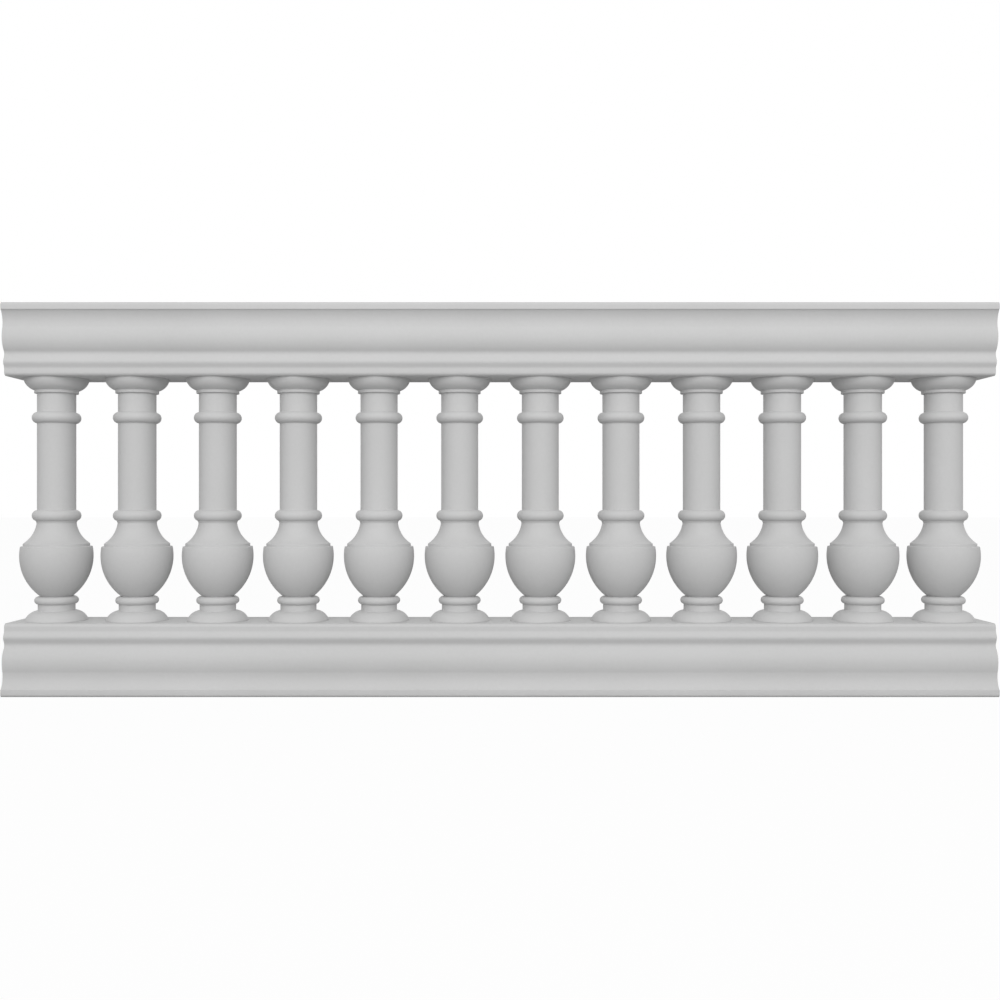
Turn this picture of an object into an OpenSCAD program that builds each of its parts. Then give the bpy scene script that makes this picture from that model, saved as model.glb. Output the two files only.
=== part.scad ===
// One section of a moulded fibreglass balustrade: two hollow moulded rails, a row of turned hollow
// balusters between them, and the steel channels and tie rods inside that clamp the row together.
// X runs along the rails, the front faces -Y, and Z = 0 is the floor under the bottom rail.

/* [Section] */
// Length of both rails
rail_length = 2438.4; // [1200:0.1:3600]
// Number of balusters
baluster_count = 12; // [3:1:18]
// Distance from each end of the rails to the axis of the nearest baluster
end_distance = 96.8; // [90:0.1:150]
// Height of one baluster
baluster_height = 609.6; // [500:0.1:1000]

/* [Rail outline] */
// Height of a rail, from the face that meets the balusters to its outer face
rail_height = 177.8; // [174:0.1:260]
// Depth across the outer band of a rail
band_depth = 222.2; // [214:0.1:280]
// Height of the outer band
band_height = 17.8; // [9:0.1:24]
// How far the band stands out past the cove next to it
band_overhang = 1.9; // [0.5:0.1:4]
// Round along the outer edge of the band
band_round = 7; // [2:0.5:7]
// Depth across the fascia next to the balusters
fascia_depth = 176.4; // [172:0.1:190]
// Height of the fascia
fascia_height = 17; // [13:0.5:30]
// Round along the edge that meets the balusters
fascia_round = 9; // [2:0.5:11]
// Depth across the bead
bead_depth = 188.4; // [178:0.1:210]
// Height from the fascia up to the crest of the bead
bead_rise = 17; // [8:0.5:30]
// Height from the crest of the bead on to the bottom of the quirk
bead_fall = 19; // [8:0.5:30]
// Depth across the bottom of the quirk between the bead and the swell
quirk_depth = 175.2; // [166:0.1:179]
// Height from the bottom of the quirk to the foot of the swell
quirk_rise = 8.5; // [5:0.5:14]
// Depth across the foot of the swell
swell_foot_depth = 181.2; // [180:0.1:186]
// Height from the foot of the swell to its crest
swell_rise = 33; // [20:0.5:42]
// Depth across the crest of the swell
swell_depth = 205; // [198:0.1:222]
// Height from the crest of the swell to the edge of the cove
swell_fall = 24; // [12:0.5:34]
// Depth across the edge of the cove
cove_edge_depth = 196.6; // [195.5:0.1:197.5]
// Height from the edge of the cove to its deepest line
cove_fall = 11; // [4:0.5:20]
// Depth across the deepest line of the cove
cove_depth = 194.8; // [184:0.1:195.2]

/* [Rail construction] */
// Wall of the moulded rail
rail_wall = 6; // [3:0.5:10]
// Thickness of the solid rims that hold the closing plate
rim_width = 12; // [10:0.5:18]
// Height of the solid rims
rim_height = 11; // [9.5:0.5:12]
// Thickness of the closing plate between the rims
plate_thickness = 9; // [4:0.5:9]
// Thickness of the caps let into the ends of the rails
cap_thickness = 6; // [3:0.5:12]
// Gap for the adhesive round the closing plates and the end caps
glue_gap = 0.3; // [0.1:0.1:0.6]

/* [Baluster outline] */
// Diameter of the foot where it stands on the rail
foot_diameter = 153; // [140:0.5:157]
// Height of the rounded foot
foot_height = 25.4; // [20:0.1:34]
// Diameter of the neck above the foot
foot_neck_diameter = 90; // [88:0.5:100]
// Height of the middle of the small ring above the foot
ring_level = 50.75; // [46:0.25:56]
// Radius of the round of the small ring
ring_round = 9.75; // [6:0.05:12]
// Diameter over the small ring
ring_diameter = 106.4; // [100:0.1:110]
// Diameter of the throat between the small ring and the belly
throat_diameter = 76.5; // [76:0.5:86]
// Largest diameter of the belly
belly_diameter = 177; // [140:0.1:200]
// Height from the throat up to the widest part of the belly
belly_rise = 102.5; // [80:0.5:130]
// Height from there up to the small ledge on top of the belly
belly_fall = 23.8; // [10:0.1:40]
// Width of the ledge, from the belly in to the lip that stands on it
ledge_width = 6.2; // [0:0.1:12]
// Height of the lip
lip_height = 7.2; // [3:0.1:12]
// Height of the hollow that draws in from the lip to the waist
drawn_in_height = 61; // [40:0.5:80]
// Diameter of the waist
waist_diameter = 94; // [88:0.5:96]
// Height from the waist up to the middle of the lower astragal
waist_height = 9.5; // [0:0.5:12]
// Distance from the top of the baluster down to the middle of the upper astragal
upper_astragal_drop = 98.4; // [70:0.1:140]
// Radius of the round of both astragals
astragal_round = 14; // [8:0.5:18]
// Diameter over the astragals
astragal_diameter = 118.2; // [110:0.1:130]
// Diameter of the straight shaft
shaft_diameter = 93.6; // [90:0.1:104]
// Diameter of the cap under the top rail
cap_diameter = 158; // [146:0.5:158]
// Height of the rounded cap
cap_height = 31; // [22:0.1:36]
// Diameter of the fillet under the cap
cap_fillet_diameter = 106.3; // [104:0.1:114]
// Height of the fillet under the cap
cap_fillet_height = 5.9; // [4:0.1:14]

/* [Baluster construction] */
// Wall of the moulded baluster
baluster_wall = 5; // [3:0.5:7]
// Bore through the foot and the small ring
foot_bore_diameter = 66; // [30:1:66]

/* [Steelwork] */
// Width of the channels over their flanges
channel_width = 80; // [50:1:110]
// Height of the channels
channel_height = 40; // [25:1:60]
// Thickness of the channels
channel_wall = 3; // [2:0.5:6]
// Diameter of the tie rods
rod_diameter = 12; // [8:0.5:16]
// Clearance round a rod in the plates and the channels, on the diameter
rod_clearance = 1; // [0.5:0.1:3]
// Clearance between a rod and its nuts and washers, on the diameter
thread_clearance = 0.3; // [0.1:0.1:0.5]
// Width of the nuts across their corners
nut_corners = 21.9; // [18:0.1:30]
// Height of the nuts
nut_height = 10.8; // [6:0.1:16]
// Diameter of the washers
washer_diameter = 36; // [24:1:48]
// Thickness of the washers
washer_thickness = 3; // [1:0.5:4]
// Length of rod left standing past each nut
rod_tail = 5; // [2:0.5:12]

/* [Hidden] */
// Flat strips along each curve of the rail outline
curve_steps = 6;
round_steps = 5;
// How far a cut runs past the solid that it goes through
cut_past = 1;
// How far the crown of the foot and of the cap lies inside the neck
crown_inset = 3;
$fn = 96;

fibreglass_colour = [0.79, 0.79, 0.79];
channel_colour = [0.62, 0.64, 0.66];
fastener_colour = [0.72, 0.71, 0.66];

// Heights in a rail, measured from the face that meets the balusters
bead_level = fascia_height + bead_rise;
quirk_level = bead_level + bead_fall;
swell_foot_level = quirk_level + quirk_rise;
swell_level = swell_foot_level + swell_rise;
cove_edge_level = swell_level + swell_fall;
cove_level = cove_edge_level + cove_fall;
band_level = rail_height - band_height;
rim_gap = fascia_depth / 2 - rim_width;

// Heights and lengths in the whole section
bottom_face = rail_height;
top_face = bottom_face + baluster_height;
inner_length = rail_length - 2 * cap_thickness;
baluster_pitch = (rail_length - 2 * end_distance) / (baluster_count - 1);
clamp_depth = plate_thickness + channel_wall;
rod_reach = clamp_depth + washer_thickness + nut_height + rod_tail;

// Heights in a baluster, measured from its foot
throat_level = ring_level + ring_round;
belly_level = throat_level + belly_rise;
ledge_level = belly_level + belly_fall;
lip_level = ledge_level + lip_height;
waist_level = lip_level + drawn_in_height;
lower_astragal_level = waist_level + waist_height;
upper_astragal_level = baluster_height - upper_astragal_drop;

// Rounds of the belly and of the hollow above it
belly_round = arc_radius(belly_rise, (belly_diameter - throat_diameter) / 2);
belly_at_ledge = belly_diameter / 2 - belly_round + sqrt(belly_round * belly_round - belly_fall * belly_fall);
lip_radius = belly_at_ledge - ledge_width;
drawn_in_round = arc_radius(drawn_in_height, lip_radius - waist_diameter / 2);

// Radius of the arc that leaves a line square to it and ends this far along and away from it.
function arc_radius(along, away) = (along * along + away * away) / (2 * away);

function baluster_x(i) = (i - 1) * baluster_pitch - rail_length / 2 + end_distance;
function numbered(name, i) = str(name, i < 10 ? "_0" : "_", i);

// ---- Rail outline: half of it, as [half depth, height] ----

// A double curve between two turning points, upright at both.
function ogee(from, to) = [
    for (k = [1:curve_steps])
        let (t = k / curve_steps)
        [from.x + (to.x - from.x) * (1 - cos(180 * t)) / 2, from.y + (to.y - from.y) * t]
];

// A single curve between two points that is upright at its crest, which is one of the two.
function bow(from, to, crest) =
    let (
        end = crest == from ? to : from,
        radius = arc_radius(abs(end.y - crest.y), abs(end.x - crest.x)),
        side = end.x > crest.x ? 1 : -1
    )
    [
        for (k = [1:curve_steps])
            let (height = from.y + (to.y - from.y) * k / curve_steps)
            let (rise = height - crest.y)
            [crest.x + side * (radius - sqrt(radius * radius - rise * rise)), height]
    ];

// A quarter round about a centre, from one angle to the other.
function quarter(centre, radius, start, finish) = [
    for (k = [0:round_steps])
        let (a = start + (finish - start) * k / round_steps)
        centre + radius * [cos(a), sin(a)]
];

// The moulded face from the top of the fascia to the foot of the band, drawn in by the given wall.
function mouldings(inset) =
    let (
        fascia = [fascia_depth / 2 - inset, fascia_height],
        bead = [bead_depth / 2 - inset, bead_level],
        quirk = [quirk_depth / 2 - inset, quirk_level],
        swell_foot = [swell_foot_depth / 2 - inset, swell_foot_level],
        swell = [swell_depth / 2 - inset, swell_level],
        cove_edge = [cove_edge_depth / 2 - inset, cove_edge_level],
        cove = [cove_depth / 2 - inset, cove_level],
        band = [band_depth / 2 - inset, band_level],
        cove_end = [band.x - band_overhang, band_level]
    )
    concat(
        [fascia],
        ogee(fascia, bead),
        ogee(bead, quirk),
        bow(quirk, swell_foot, quirk),
        bow(swell_foot, swell, swell),
        bow(swell, cove_edge, swell),
        bow(cove_edge, cove, cove),
        bow(cove, cove_end, cove),
        [band]
    );

function outer_half() =
    let (
        fascia_centre = [fascia_depth / 2 - fascia_round, fascia_round],
        band_centre = [band_depth / 2 - band_round, rail_height - band_round]
    )
    concat(
        quarter(fascia_centre, fascia_round, -90, 0),
        mouldings(0),
        quarter(band_centre, band_round, 0, 90)
    );

// What lies inside the wall: the gap between the rims, and the space above them.
function inner_half(gap, foot) =
    let (inset = rail_wall + gap)
    concat(
        [[rim_gap - gap, foot], [rim_gap - gap, rim_height + gap]],
        [[fascia_depth / 2 - inset, rim_height + gap]],
        mouldings(inset),
        [[band_depth / 2 - inset, rail_height - inset]]
    );

module both_sides(half) {
    other_half = [for (k = [len(half) - 1:-1:0]) [-half[k].x, half[k].y]];
    polygon(concat(half, other_half));
}

// Stands a rail's outline up and runs it along X, with its inner face at height 0.
module along_rail(length) {
    rotate([90, 0, 90])
        linear_extrude(height = length, center = true)
            children();
}

// A bottom rail is the same moulding turned over.
module in_top_rail() {
    translate([0, 0, top_face])
        children();
}
module in_bottom_rail() {
    translate([0, 0, bottom_face])
        mirror([0, 0, 1])
            children();
}

// ---- Rail pieces ----

module rail_shell() {
    color(fibreglass_colour)
        difference() {
            along_rail(rail_length)
                both_sides(outer_half());
            along_rail(rail_length + 2 * cut_past)
                both_sides(inner_half(0, -cut_past));
        }
}

module closing_plate() {
    width = 2 * (rim_gap - glue_gap);
    color(fibreglass_colour)
        difference() {
            translate([-inner_length / 2, -width / 2, 0])
                cube([inner_length, width, plate_thickness]);
            rod_holes(-cut_past, plate_thickness + 2 * cut_past);
        }
}

module end_cap(side) {
    color(fibreglass_colour)
        translate([side * (rail_length - cap_thickness) / 2, 0, 0])
            along_rail(cap_thickness)
                both_sides(inner_half(glue_gap, 0));
}

module rod_holes(start, depth) {
    for (i = [1:baluster_count])
        translate([baluster_x(i), 0, start])
            cylinder(d = rod_diameter + rod_clearance, h = depth);
}

// ---- Balusters ----

// The rounded foot or cap: widest at height 0, and drawn in to its crown at its full height.
module dome(width, height, crown) {
    round = arc_radius(width / 2 - crown, height);
    intersection() {
        translate([crown, height - round])
            circle(r = round);
        square([width / 2, height]);
    }
    square([crown, height]);
}

// The long round of the belly, from the throat up to the given height, drawn in by the given wall.
module belly(top, inset) {
    intersection() {
        translate([belly_diameter / 2 - belly_round, belly_level])
            circle(r = belly_round - inset);
        translate([0, ring_level])
            square([belly_diameter, top - ring_level]);
    }
}

// The lip and the hollow above it, from the given height, drawn in by the given wall.
module drawn_in(start, inset) {
    difference() {
        translate([0, start])
            square([lip_radius - inset, waist_level - start]);
        translate([waist_diameter / 2 + drawn_in_round, waist_level])
            circle(r = drawn_in_round + inset);
    }
}

module baluster_outline() {
    crown = foot_neck_diameter / 2 - crown_inset;
    fillet_top = baluster_height - cap_height / 2;
    fillet_start = baluster_height - cap_height - cap_fillet_height;
    dome(foot_diameter, foot_height, crown);
    square([foot_neck_diameter / 2, ring_level]);
    square([ring_diameter / 2 - ring_round, throat_level]);
    translate([ring_diameter / 2 - ring_round, ring_level])
        circle(r = ring_round);
    belly(ledge_level, 0);
    drawn_in(ledge_level, 0);
    translate([0, waist_level])
        square([shaft_diameter / 2, fillet_top - waist_level]);
    for (level = [lower_astragal_level, upper_astragal_level])
        translate([astragal_diameter / 2 - astragal_round, level])
            circle(r = astragal_round);
    translate([0, fillet_start])
        square([cap_fillet_diameter / 2, fillet_top - fillet_start]);
    translate([0, baluster_height])
        mirror([0, 1])
            dome(cap_diameter, cap_height, crown);
}

module baluster_hollow() {
    translate([0, -cut_past])
        square([foot_bore_diameter / 2, belly_level + cut_past]);
    belly(ledge_level - baluster_wall, baluster_wall);
    drawn_in(ledge_level - baluster_wall, baluster_wall);
    translate([0, waist_level])
        square([shaft_diameter / 2 - baluster_wall, baluster_height - waist_level + cut_past]);
}

module baluster(i) {
    color(fibreglass_colour)
        translate([baluster_x(i), 0, bottom_face])
            rotate_extrude()
                difference() {
                    baluster_outline();
                    baluster_hollow();
                }
}

// ---- Steelwork inside the rails ----

// A channel lies with its web on the closing plate and its flanges standing away from it.
module channel() {
    web = plate_thickness + channel_wall;
    inside = channel_width - 2 * channel_wall;
    color(channel_colour)
        translate([-inner_length / 2, 0, 0])
            difference() {
                translate([0, -channel_width / 2, plate_thickness])
                    cube([inner_length, channel_width, channel_height]);
                translate([-cut_past, -inside / 2, web])
                    cube([inner_length + 2 * cut_past, inside, channel_height]);
                translate([inner_length / 2, 0, 0])
                    rod_holes(plate_thickness - cut_past, channel_wall + 2 * cut_past);
            }
}

module tie_rod(i) {
    color(fastener_colour)
        translate([baluster_x(i), 0, bottom_face - rod_reach])
            cylinder(d = rod_diameter, h = baluster_height + 2 * rod_reach);
}

module washers() {
    color(fastener_colour)
        for (i = [1:baluster_count])
            translate([baluster_x(i), 0, clamp_depth])
                difference() {
                    cylinder(d = washer_diameter, h = washer_thickness);
                    translate([0, 0, -cut_past])
                        cylinder(d = rod_diameter + thread_clearance, h = washer_thickness + 2 * cut_past);
                }
}

module nuts() {
    color(fastener_colour)
        for (i = [1:baluster_count])
            translate([baluster_x(i), 0, clamp_depth + washer_thickness])
                difference() {
                    cylinder(d = nut_corners, h = nut_height, $fn = 6);
                    translate([0, 0, -cut_past])
                        cylinder(d = rod_diameter + thread_clearance, h = nut_height + 2 * cut_past);
                }
}

in_top_rail() rail_shell();  // top_rail
in_bottom_rail() rail_shell();  // bottom_rail
in_top_rail() closing_plate();  // top_closing_plate
in_bottom_rail() closing_plate();  // bottom_closing_plate
in_top_rail() end_cap(-1);  // top_left_end_cap
in_top_rail() end_cap(1);  // top_right_end_cap
in_bottom_rail() end_cap(-1);  // bottom_left_end_cap
in_bottom_rail() end_cap(1);  // bottom_right_end_cap
in_top_rail() channel();  // top_channel
in_bottom_rail() channel();  // bottom_channel
in_top_rail() washers();  // top_washers
in_bottom_rail() washers();  // bottom_washers
in_top_rail() nuts();  // top_nuts
in_bottom_rail() nuts();  // bottom_nuts
for (i = [1:baluster_count]) {
    baluster(i);
    tie_rod(i);
}
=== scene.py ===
import math

import bmesh
import bpy
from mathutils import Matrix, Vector


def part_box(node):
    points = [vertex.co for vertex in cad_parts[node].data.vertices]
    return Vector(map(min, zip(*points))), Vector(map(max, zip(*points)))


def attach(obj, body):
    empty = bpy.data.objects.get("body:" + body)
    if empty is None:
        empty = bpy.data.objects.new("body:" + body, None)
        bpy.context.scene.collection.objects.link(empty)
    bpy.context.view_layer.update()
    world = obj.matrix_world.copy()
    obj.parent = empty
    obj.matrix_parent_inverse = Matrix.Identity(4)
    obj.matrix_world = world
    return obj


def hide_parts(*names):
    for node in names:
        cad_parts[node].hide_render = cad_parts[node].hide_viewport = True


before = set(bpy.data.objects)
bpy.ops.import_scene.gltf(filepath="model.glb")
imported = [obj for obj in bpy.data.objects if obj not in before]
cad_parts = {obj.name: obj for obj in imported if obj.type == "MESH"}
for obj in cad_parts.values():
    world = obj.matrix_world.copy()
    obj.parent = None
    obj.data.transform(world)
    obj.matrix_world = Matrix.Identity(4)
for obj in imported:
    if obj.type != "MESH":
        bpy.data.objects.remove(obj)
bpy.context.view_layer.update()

# Sizes are in millimetres, as on the moulds, and MM turns them into metres.
MM = 0.001

# ---- Sizes of the rails, measured from the face that meets the balusters ----

RAIL_HEIGHT = 177.8
BAND_DEPTH = 222.2
BAND_LEVEL = 160.0
BAND_OVERHANG = 1.9
BAND_ROUND = 7.0
FASCIA_DEPTH = 176.4
FASCIA_HEIGHT = 17.0
FASCIA_ROUND = 9.0
BEAD_DEPTH = 188.4
BEAD_LEVEL = 34.0
QUIRK_DEPTH = 175.2
QUIRK_LEVEL = 53.0
SWELL_FOOT_DEPTH = 181.2
SWELL_FOOT_LEVEL = 61.5
SWELL_DEPTH = 205.0
SWELL_LEVEL = 94.5
COVE_EDGE_DEPTH = 196.6
COVE_EDGE_LEVEL = 118.5
COVE_DEPTH = 194.8
COVE_LEVEL = 129.5
RAIL_WALL = 6.0
RIM_WIDTH = 12.0
RIM_HEIGHT = 11.0
GLUE_GAP = 0.3
RAIL_EASED_EDGE = 1.0
CAP_EASED_EDGE = 0.6

# ---- Sizes of a baluster, measured from its foot ----

BALUSTER_HEIGHT = 609.6
BALUSTER_WALL = 5.0
FOOT_RADIUS = 76.5
FOOT_HEIGHT = 25.4
CROWN_RADIUS = 42.0
NECK_RADIUS = 45.0
BORE_RADIUS = 33.0
RING_LEVEL = 50.75
RING_ROUND = 9.75
RING_RADIUS = 53.2
THROAT_RADIUS = 38.25
THROAT_LEVEL = 60.5
BELLY_RADIUS = 88.5
BELLY_LEVEL = 163.0
LEDGE_LEVEL = 186.8
LIP_RADIUS = 80.1
LIP_LEVEL = 194.0
WAIST_RADIUS = 47.0
WAIST_LEVEL = 255.0
LOWER_ASTRAGAL_LEVEL = 264.5
UPPER_ASTRAGAL_LEVEL = 511.2
ASTRAGAL_ROUND = 14.0
ASTRAGAL_RADIUS = 59.1
SHAFT_RADIUS = 46.8
FILLET_LEVEL = 572.7
FILLET_RADIUS = 53.15
CAP_RADIUS = 79.0
CAP_HEIGHT = 31.0

# ---- How finely the pieces are made ----

ROUND_STEPS = 112
SHARP_ANGLE = 26
SAME_POINT = 0.00002

# ---- The studio ----

FLOOR_REACH = 30
FLOOR_SHADE = 0.52
FLOOR_WHITENESS = 0.97
FILL_STRENGTH = 0.515
PANEL_LENGTH = 9.0
PANEL_HEIGHT = 3.5
PANEL_POWER = 210
PANEL_PLACE = (0, -4.5, 3.0)
PANEL_TILT = 61
CAMERA_PLACE = (0, -3.016, 0.4816)
CAMERA_LENS = 42.88
WHITE = (1, 1, 1, 1)

BALUSTERS = sorted(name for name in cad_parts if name.startswith("baluster_"))


# ---- Outlines, as [distance from the middle, height] ----

def arc(centre, radius, start, finish, steps):
    """Points along an arc, from one angle in degrees to the other."""
    points = []
    for step in range(steps + 1):
        angle = math.radians(start + (finish - start) * step / steps)
        points.append(centre + radius * Vector((math.cos(angle), math.sin(angle))))
    return points


def angle_at_radius(centre, radius, across):
    """The angle above level at which an arc stands this far from the middle."""
    return math.degrees(math.acos((across - centre.x) / radius))


def angle_at_height(centre, radius, height):
    """The angle above level at which an arc reaches this height."""
    return math.degrees(math.asin((height - centre.y) / radius))


def arc_radius(along, away):
    """Radius of the arc that leaves a line square to it and ends this far along and away."""
    return (along * along + away * away) / (2 * away)


def meet(first, first_radius, second, second_radius):
    """The lower of the two points where two circles cross."""
    apart = second - first
    distance = apart.length
    along = (distance ** 2 + first_radius ** 2 - second_radius ** 2) / (2 * distance)
    up = math.sqrt(first_radius ** 2 - along ** 2)
    middle = first + apart * (along / distance)
    across = Vector((-apart.y, apart.x)) * (up / distance)
    return min(middle + across, middle - across, key=lambda point: point.y)


def ogee(start, finish, steps=16):
    """A double curve between two turning points, upright at both."""
    points = []
    for step in range(1, steps + 1):
        along = step / steps
        across = start[0] + (finish[0] - start[0]) * (1 - math.cos(math.pi * along)) / 2
        points.append(Vector((across, start[1] + (finish[1] - start[1]) * along)))
    return points


def bow(start, finish, crest, steps=14):
    """A single curve between two points that is upright at its crest, which is one of them."""
    end = finish if crest == start else start
    radius = arc_radius(abs(end[1] - crest[1]), abs(end[0] - crest[0]))
    side = 1 if end[0] > crest[0] else -1
    points = []
    for step in range(1, steps + 1):
        height = start[1] + (finish[1] - start[1]) * step / steps
        rise = height - crest[1]
        away = radius - math.sqrt(radius ** 2 - rise ** 2)
        points.append(Vector((crest[0] + side * away, height)))
    return points


def mouldings(inset):
    """The moulded face of a rail from its fascia to its band, drawn in by a wall."""
    fascia = (FASCIA_DEPTH / 2 - inset, FASCIA_HEIGHT)
    bead = (BEAD_DEPTH / 2 - inset, BEAD_LEVEL)
    quirk = (QUIRK_DEPTH / 2 - inset, QUIRK_LEVEL)
    swell_foot = (SWELL_FOOT_DEPTH / 2 - inset, SWELL_FOOT_LEVEL)
    swell = (SWELL_DEPTH / 2 - inset, SWELL_LEVEL)
    cove_edge = (COVE_EDGE_DEPTH / 2 - inset, COVE_EDGE_LEVEL)
    cove = (COVE_DEPTH / 2 - inset, COVE_LEVEL)
    band = (BAND_DEPTH / 2 - inset, BAND_LEVEL)
    cove_end = (band[0] - BAND_OVERHANG, BAND_LEVEL)
    return [
        Vector(fascia),
        *ogee(fascia, bead),
        *ogee(bead, quirk),
        *bow(quirk, swell_foot, quirk, 7),
        *bow(swell_foot, swell, swell),
        *bow(swell, cove_edge, swell, 10),
        *bow(cove_edge, cove, cove, 6),
        *bow(cove, cove_end, cove),
        Vector(band),
    ]


def rail_face():
    """Half of the rail's outline, from its inner face round to its outer face."""
    fascia = Vector((FASCIA_DEPTH / 2 - FASCIA_ROUND, FASCIA_ROUND))
    band = Vector((BAND_DEPTH / 2 - BAND_ROUND, RAIL_HEIGHT - BAND_ROUND))
    return [
        *arc(fascia, FASCIA_ROUND, -90, 0, 10),
        *mouldings(0),
        *arc(band, BAND_ROUND, 0, 90, 10),
    ]


def rail_inside(gap):
    """Half of the space inside a rail, less a gap for the adhesive."""
    rim = FASCIA_DEPTH / 2 - RIM_WIDTH - gap
    inset = RAIL_WALL + gap
    return [
        Vector((rim, 0)),
        Vector((rim, RIM_HEIGHT + gap)),
        Vector((FASCIA_DEPTH / 2 - inset, RIM_HEIGHT + gap)),
        *mouldings(inset),
        Vector((BAND_DEPTH / 2 - inset, RAIL_HEIGHT - inset)),
    ]


def both_sides(half):
    """A half outline with its other half, going round from the front to the back."""
    return half + [Vector((-point.x, point.y)) for point in reversed(half)]


def soften(points, reach=0.9, steps=4, least_turn=28):
    """Rubs the sharp corners off a closed outline, as a mould's do."""
    rounded = []
    for index, corner in enumerate(points):
        into = corner - points[index - 1]
        out = points[(index + 1) % len(points)] - corner
        if into.length < 0.001 or out.length < 0.001:
            continue
        if math.degrees(into.angle(out)) < least_turn:
            rounded.append(corner)
            continue
        cut = min(reach, into.length * 0.45, out.length * 0.45)
        start = corner - into.normalized() * cut
        finish = corner + out.normalized() * cut
        for step in range(steps + 1):
            along = step / steps
            rounded.append(
                start * (1 - along) ** 2 + corner * (2 * along * (1 - along))
                + finish * along ** 2
            )
    return rounded


def belly_circle():
    """Centre and radius of the belly."""
    radius = arc_radius(BELLY_LEVEL - THROAT_LEVEL, BELLY_RADIUS - THROAT_RADIUS)
    return Vector((BELLY_RADIUS - radius, BELLY_LEVEL)), radius


def hollow_circle():
    """Centre and radius of the hollow drawn in above the belly."""
    radius = arc_radius(WAIST_LEVEL - LIP_LEVEL, LIP_RADIUS - WAIST_RADIUS)
    return Vector((WAIST_RADIUS + radius, WAIST_LEVEL)), radius


def baluster_face():
    """The turned outline of a baluster, from the edge of its foot up to its cap."""
    foot_round = arc_radius(FOOT_RADIUS - CROWN_RADIUS, FOOT_HEIGHT)
    foot = Vector((CROWN_RADIUS, FOOT_HEIGHT - foot_round))
    ring = Vector((RING_RADIUS - RING_ROUND, RING_LEVEL))
    belly, belly_round = belly_circle()
    hollow, hollow_round = hollow_circle()
    lower = Vector((ASTRAGAL_RADIUS - ASTRAGAL_ROUND, LOWER_ASTRAGAL_LEVEL))
    upper = Vector((lower.x, UPPER_ASTRAGAL_LEVEL))
    cap_round = arc_radius(CAP_RADIUS - CROWN_RADIUS, CAP_HEIGHT)
    cap = Vector((CROWN_RADIUS, BALUSTER_HEIGHT - CAP_HEIGHT + cap_round))

    on_neck = angle_at_radius(ring, RING_ROUND, NECK_RADIUS)
    on_shaft = angle_at_radius(lower, ASTRAGAL_ROUND, SHAFT_RADIUS)
    crossing = meet(hollow, hollow_round, lower, ASTRAGAL_ROUND)
    return [
        *arc(
            foot, foot_round, angle_at_height(foot, foot_round, 0),
            angle_at_radius(foot, foot_round, NECK_RADIUS), 16,
        ),
        *arc(ring, RING_ROUND, -on_neck, 90, 14),
        *arc(
            belly, belly_round, angle_at_height(belly, belly_round, THROAT_LEVEL),
            angle_at_height(belly, belly_round, LEDGE_LEVEL), 22,
        ),
        Vector((LIP_RADIUS, LEDGE_LEVEL)),
        *arc(
            hollow, hollow_round,
            180 + angle_at_height(hollow, hollow_round, 2 * hollow.y - LIP_LEVEL),
            180 + angle_at_height(hollow, hollow_round, 2 * hollow.y - crossing.y), 14,
        ),
        *arc(
            lower, ASTRAGAL_ROUND, angle_at_height(lower, ASTRAGAL_ROUND, crossing.y), on_shaft, 16,
        ),
        *arc(upper, ASTRAGAL_ROUND, -on_shaft, on_shaft, 16),
        Vector((SHAFT_RADIUS, FILLET_LEVEL)),
        Vector((FILLET_RADIUS, FILLET_LEVEL)),
        *arc(
            cap, cap_round, -angle_at_radius(cap, cap_round, FILLET_RADIUS),
            angle_at_height(cap, cap_round, BALUSTER_HEIGHT), 14,
        ),
    ]


def baluster_bore():
    """The inside of the same wall, from the top of the cap down to the foot."""
    belly, belly_round = belly_circle()
    hollow, hollow_round = hollow_circle()
    inside_belly = belly_round - BALUSTER_WALL
    inside_hollow = hollow_round + BALUSTER_WALL
    shelf = LEDGE_LEVEL - BALUSTER_WALL
    shaft = SHAFT_RADIUS - BALUSTER_WALL
    lip = angle_at_radius(hollow, -inside_hollow, LIP_RADIUS - BALUSTER_WALL)
    return [
        Vector((shaft, BALUSTER_HEIGHT)),
        Vector((shaft, WAIST_LEVEL)),
        *arc(hollow, inside_hollow, 180, 180 + lip, 10),
        Vector((LIP_RADIUS - BALUSTER_WALL, shelf)),
        *arc(
            belly, inside_belly, angle_at_height(belly, inside_belly, shelf),
            -angle_at_radius(belly, inside_belly, BORE_RADIUS), 14,
        ),
        Vector((BORE_RADIUS, 0)),
    ]


# ---- Making the pieces ----

def finished_piece(name, mould, finish, node):
    """Turns a mesh in the making into a piece that stands for a CAD node."""
    bmesh.ops.remove_doubles(mould, verts=mould.verts, dist=SAME_POINT)
    bmesh.ops.recalc_face_normals(mould, faces=mould.faces)
    mesh = bpy.data.meshes.new(name)
    mould.to_mesh(mesh)
    mould.free()
    mesh.shade_smooth()
    mesh.set_sharp_from_angle(angle=math.radians(SHARP_ANGLE))
    mesh.materials.append(finish)
    piece = bpy.data.objects.new(name, mesh)
    bpy.context.collection.objects.link(piece)
    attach(piece, "root")
    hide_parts(node)
    return piece


def ring_of_edges(mould, corners):
    """A closed loop of edges through the corners, in metres."""
    verts = [mould.verts.new(corner) for corner in corners]
    return [mould.edges.new((verts[k - 1], verts[k])) for k in range(len(verts))]


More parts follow.
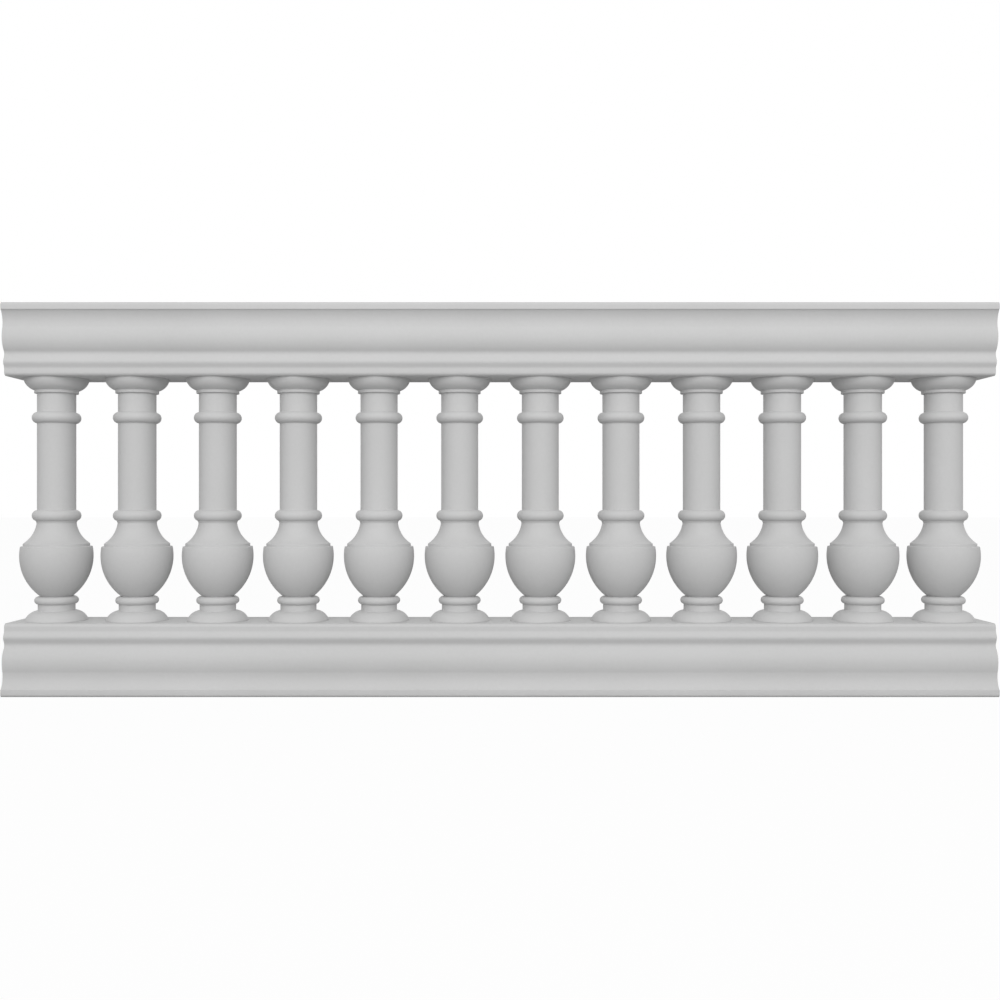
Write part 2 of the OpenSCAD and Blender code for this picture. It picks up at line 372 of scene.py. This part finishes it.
def run_along(mould, outline, lengths, edge):
    """Draws a closed outline out along X through each length, and eases its edges.

    A piece drawn out in one length is eased along its sides too, and a longer one only at its ends.
    """
    corners = [Vector((lengths[0], point.x, point.y)) for point in outline]
    end = [mould.faces.new([mould.verts.new(corner) for corner in corners])]
    for start, finish in zip(lengths, lengths[1:]):
        drawn = bmesh.ops.extrude_face_region(mould, geom=end)
        moved = [part for part in drawn["geom"] if isinstance(part, bmesh.types.BMVert)]
        bmesh.ops.translate(mould, verts=moved, vec=(finish - start, 0, 0))
        if start != lengths[0]:
            bmesh.ops.delete(mould, geom=end, context="FACES_ONLY")
        end = [part for part in drawn["geom"] if isinstance(part, bmesh.types.BMFace)]
    ends = (lengths[0], lengths[-1])
    rim = [
        side
        for side in mould.edges
        if all(min(abs(vert.co.x - place) for place in ends) < SAME_POINT for vert in side.verts)
    ]
    bmesh.ops.bevel(
        mould, geom=rim, offset=edge, offset_type="OFFSET", affect="EDGES",
        segments=2, profile=0.5, material=-1, clamp_overlap=True,
    )


def stand_in_rail(mould, node):
    """Lifts a rail's outline to its node, and turns it over for the bottom rail."""
    low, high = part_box(node)
    if node.startswith("bottom"):
        bmesh.ops.scale(mould, verts=mould.verts, vec=(1, 1, -1))
        bmesh.ops.translate(mould, verts=mould.verts, vec=(0, 0, high.z))
    else:
        bmesh.ops.translate(mould, verts=mould.verts, vec=(0, 0, low.z))


def mould_rail(name, node, finish):
    """A hollow rail, open along the face where its closing plate goes in."""
    low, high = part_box(node)
    outline = both_sides(rail_face()) + list(reversed(both_sides(rail_inside(0))))
    outline = [point * MM for point in soften(outline, reach=0.6)]
    margin = 4 * RAIL_EASED_EDGE * MM
    mould = bmesh.new()
    run_along(
        mould, outline, [low.x, low.x + margin, high.x - margin, high.x], RAIL_EASED_EDGE * MM,
    )
    stand_in_rail(mould, node)
    return finished_piece(name, mould, finish, node)


def fit_end_cap(name, node, finish):
    """The plate let into the end of a rail."""
    low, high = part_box(node)
    outline = [point * MM for point in both_sides(rail_inside(GLUE_GAP))]
    mould = bmesh.new()
    run_along(mould, outline, [low.x, high.x], CAP_EASED_EDGE * MM)
    stand_in_rail(mould, node)
    return finished_piece(name, mould, finish, node)


def turn_baluster(name, node, outline, finish):
    """Spins the outline of the wall about the baluster's own axis."""
    low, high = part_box(node)
    axis = Vector(((low.x + high.x) / 2, (low.y + high.y) / 2, low.z))
    mould = bmesh.new()
    wall = ring_of_edges(mould, [axis + Vector((point.x, 0, point.y)) for point in outline])
    bmesh.ops.spin(
        mould, geom=wall, cent=axis, axis=(0, 0, 1), dvec=(0, 0, 0),
        angle=2 * math.pi, steps=ROUND_STEPS, use_merge=True, use_duplicate=False,
    )
    return finished_piece(name, mould, finish, node)


# ---- Finishes ----

class Amount:
    """A value in a finish that can be used in ordinary sums."""

    def __init__(self, nodes, socket):
        self.nodes = nodes
        self.socket = socket

    def sum_with(self, operation, first, second):
        node = self.nodes.add("ShaderNodeMath", {"operation": operation}, {0: first, 1: second})
        return Amount(self.nodes, node.outputs[0])

    def __add__(self, other):
        return self.sum_with("ADD", self, other)

    def __mul__(self, other):
        return self.sum_with("MULTIPLY", self, other)


class Nodes:
    """A tree of shader nodes, filled one at a time."""

    def __init__(self, tree):
        self.tree = tree
        self.tree.nodes.clear()

    def add(self, kind, settings=None, sockets=None):
        """Adds a node, with its settings first and then what goes into its sockets."""
        node = self.tree.nodes.new(kind)
        for name, value in (settings or {}).items():
            setattr(node, name, value)
        for name, value in (sockets or {}).items():
            if isinstance(value, Amount):
                value = value.socket
            if isinstance(value, bpy.types.NodeSocket):
                self.tree.links.new(value, node.inputs[name])
            else:
                node.inputs[name].default_value = value
        return node


class Finish(Nodes):
    """A material made up of nodes, which read the place on the piece itself."""

    def __init__(self, name):
        self.material = bpy.data.materials.new(name)
        self.material.use_nodes = True
        super().__init__(self.material.node_tree)
        self.place = self.add("ShaderNodeTexCoord").outputs["Object"]

    def noise(self, scale, detail=2.0, roughness=0.5):
        """Soft cloudy noise, with this many clouds to the metre."""
        node = self.add(
            "ShaderNodeTexNoise", {"noise_dimensions": "3D"},
            {"Vector": self.place, "Scale": scale, "Detail": detail, "Roughness": roughness},
        )
        return Amount(self, node.outputs["Fac"])

    def crystals(self, scale):
        """An even shade for each of the crystal-like cells, with this many to the metre."""
        cells = self.add(
            "ShaderNodeTexVoronoi", {"voronoi_dimensions": "3D", "feature": "F1"},
            {"Vector": self.place, "Scale": scale},
        )
        parts = self.add(
            "ShaderNodeSeparateColor", {"mode": "RGB"}, {"Color": cells.outputs["Color"]}
        )
        return Amount(self, parts.outputs["Red"])

    def blend(self, first, second, share):
        """One colour mixed into another."""
        node = self.add(
            "ShaderNodeMix", {"data_type": "RGBA", "blend_type": "MIX"},
            {0: share, 6: first, 7: second},
        )
        return node.outputs[2]

    def spread(self, amount, low, high, to_low, to_high):
        """Stretches one span of an amount over another."""
        node = self.add(
            "ShaderNodeMapRange", {"clamp": True},
            {
                "Value": amount, "From Min": low, "From Max": high,
                "To Min": to_low, "To Max": to_high,
            },
        )
        return Amount(self, node.outputs["Result"])

    def raised(self, height, distance, strength, under=None):
        """Turns a height between 0 and 1 into relief this many metres high."""
        sockets = {"Height": height, "Distance": distance, "Strength": strength}
        if under is not None:
            sockets["Normal"] = under
        return self.add("ShaderNodeBump", None, sockets).outputs["Normal"]

    def surface(self, sockets):
        """Finishes the material with one shader."""
        shader = self.add("ShaderNodeBsdfPrincipled", None, sockets)
        self.add("ShaderNodeOutputMaterial", None, {"Surface": shader.outputs["BSDF"]})
        return self.material


def mix_gelcoat():
    """Satin off-white gelcoat over glass fibre: faintly clouded, with a fine orange peel."""
    gelcoat = Finish("satin_gelcoat")
    clouds = gelcoat.noise(3.2, 3.0)
    speckle = gelcoat.noise(130.0, 2.0)
    shade = gelcoat.spread(clouds * 0.7 + speckle * 0.3, 0.36, 0.64, 0.0, 1.0)
    colour = gelcoat.blend((0.574, 0.574, 0.573, 1), (0.600, 0.600, 0.600, 1), shade)
    peel = gelcoat.noise(620.0, 2.0)
    waves = gelcoat.noise(11.0, 1.0)
    relief = gelcoat.raised(waves, 0.0006, 0.35)
    relief = gelcoat.raised(peel, 0.00006, 0.5, relief)
    sheen = gelcoat.spread(clouds + speckle * 0.4, 0.4, 1.0, 0.44, 0.56)
    return gelcoat.surface({
        "Base Color": colour,
        "Roughness": sheen,
        "IOR": 1.46,
        "Specular IOR Level": 0.12,
        "Normal": relief,
    })


def mix_galvanising():
    """Hot-dip zinc with its flat grey crystals."""
    zinc = Finish("galvanised_coat")
    crystals = zinc.crystals(85.0)
    dust = zinc.noise(40.0, 3.0)
    shade = zinc.spread(crystals * 0.7 + dust * 0.3, 0.1, 0.9, 0.0, 1.0)
    colour = zinc.blend((0.30, 0.31, 0.32, 1), (0.52, 0.53, 0.54, 1), shade)
    return zinc.surface({
        "Base Color": colour,
        "Metallic": 1.0,
        "Roughness": zinc.spread(crystals + dust * 0.5, 0.0, 1.5, 0.36, 0.58),
        "Normal": zinc.raised(dust, 0.0001, 0.4),
    })


def mix_zinc_plating():
    """Bright zinc on the rods and fasteners, slightly yellowed and scratched."""
    plating = Finish("zinc_plating")
    tint = plating.noise(55.0, 3.0)
    scratches = plating.noise(900.0, 2.0)
    colour = plating.blend((0.50, 0.48, 0.42, 1), (0.62, 0.61, 0.58, 1), tint)
    return plating.surface({
        "Base Color": colour,
        "Metallic": 1.0,
        "Roughness": plating.spread(tint + scratches * 0.4, 0.3, 1.1, 0.26, 0.42),
        "Normal": plating.raised(scratches, 0.00004, 0.4),
    })


def dress(node, finish):
    """Gives a CAD node its finish and leaves its shape alone."""
    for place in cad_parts[node].material_slots:
        place.material = finish


# ---- The studio ----

def lay_floor():
    """A wide pale floor that runs out of sight and still takes the section's shadow."""
    floor_finish = Finish("pale_floor")
    ground = floor_finish.add(
        "ShaderNodeBsdfDiffuse", None, {"Color": (FLOOR_SHADE, FLOOR_SHADE, FLOOR_SHADE, 1)}
    ).outputs["BSDF"]
    white = floor_finish.add(
        "ShaderNodeEmission", None, {"Color": WHITE, "Strength": 1.0}
    ).outputs["Emission"]
    rays = floor_finish.add("ShaderNodeLightPath")
    seen = Amount(floor_finish, rays.outputs["Is Camera Ray"])
    mixed = floor_finish.add(
        "ShaderNodeMixShader", None, {0: seen * FLOOR_WHITENESS, 1: ground, 2: white}
    ).outputs["Shader"]
    floor_finish.add("ShaderNodeOutputMaterial", None, {"Surface": mixed})
    sheet = bmesh.new()
    bmesh.ops.create_grid(sheet, x_segments=1, y_segments=1, size=FLOOR_REACH)
    mesh = bpy.data.meshes.new("studio_floor")
    sheet.to_mesh(mesh)
    sheet.free()
    mesh.materials.append(floor_finish.material)
    floor = bpy.data.objects.new("studio_floor", mesh)
    bpy.context.collection.objects.link(floor)


def light_studio():
    """Even white surroundings, and one broad soft panel in front and above."""
    world = bpy.data.worlds.new("white_studio")
    bpy.context.scene.world = world
    world.use_nodes = True
    nodes = Nodes(world.node_tree)
    rays = nodes.add("ShaderNodeLightPath")
    shown = nodes.add(
        "ShaderNodeMath", {"operation": "ADD"},
        {0: rays.outputs["Is Camera Ray"], 1: rays.outputs["Is Glossy Ray"]},
    ).outputs[0]
    shown = nodes.add(
        "ShaderNodeMath", {"operation": "ADD", "use_clamp": True},
        {0: shown, 1: rays.outputs["Is Transmission Ray"]},
    ).outputs[0]
    fill = nodes.add("ShaderNodeBackground", None, {"Strength": FILL_STRENGTH, "Color": WHITE})
    white = nodes.add("ShaderNodeBackground", None, {"Strength": 1.0, "Color": WHITE})
    mixed = nodes.add(
        "ShaderNodeMixShader", None, {0: shown, 1: fill.outputs[0], 2: white.outputs[0]}
    )
    nodes.add("ShaderNodeOutputWorld", None, {"Surface": mixed.outputs[0]})

    panel = bpy.data.lights.new("front_light", "AREA")
    panel.shape = "RECTANGLE"
    panel.size = PANEL_LENGTH
    panel.size_y = PANEL_HEIGHT
    panel.energy = PANEL_POWER
    front_light = bpy.data.objects.new("front_light", panel)
    front_light.location = PANEL_PLACE
    front_light.rotation_euler = (math.radians(PANEL_TILT), 0, 0)
    bpy.context.collection.objects.link(front_light)


def stand_camera():
    """A level camera straight in front of the middle of the section."""
    lens = bpy.data.cameras.new("camera")
    lens.lens = CAMERA_LENS
    lens.sensor_width = 36
    lens.clip_start = 0.05
    lens.clip_end = 100
    camera = bpy.data.objects.new("camera", lens)
    camera.location = CAMERA_PLACE
    camera.rotation_euler = (math.radians(90), 0, 0)
    bpy.context.collection.objects.link(camera)
    bpy.context.scene.camera = camera


# ---- The section ----

gelcoat = mix_gelcoat()
galvanising = mix_galvanising()
plating = mix_zinc_plating()

mould_rail("moulded_top_rail", "top_rail", gelcoat)
mould_rail("moulded_bottom_rail", "bottom_rail", gelcoat)
for side in ("top_left", "top_right", "bottom_left", "bottom_right"):
    fit_end_cap("fitted_" + side + "_end_cap", side + "_end_cap", gelcoat)

wall_outline = [point * MM for point in soften(baluster_face() + baluster_bore())]
for baluster in BALUSTERS:
    turn_baluster("turned_" + baluster, baluster, wall_outline, gelcoat)

for plate in ("top_closing_plate", "bottom_closing_plate"):
    dress(plate, gelcoat)
for channel in ("top_channel", "bottom_channel"):
    dress(channel, galvanising)
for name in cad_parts:
    if name.startswith("tie_rod") or name.endswith(("washers", "nuts")):
        dress(name, plating)

lay_floor()
light_studio()
stand_camera()
bpy.context.scene.view_settings.view_transform = "Standard"
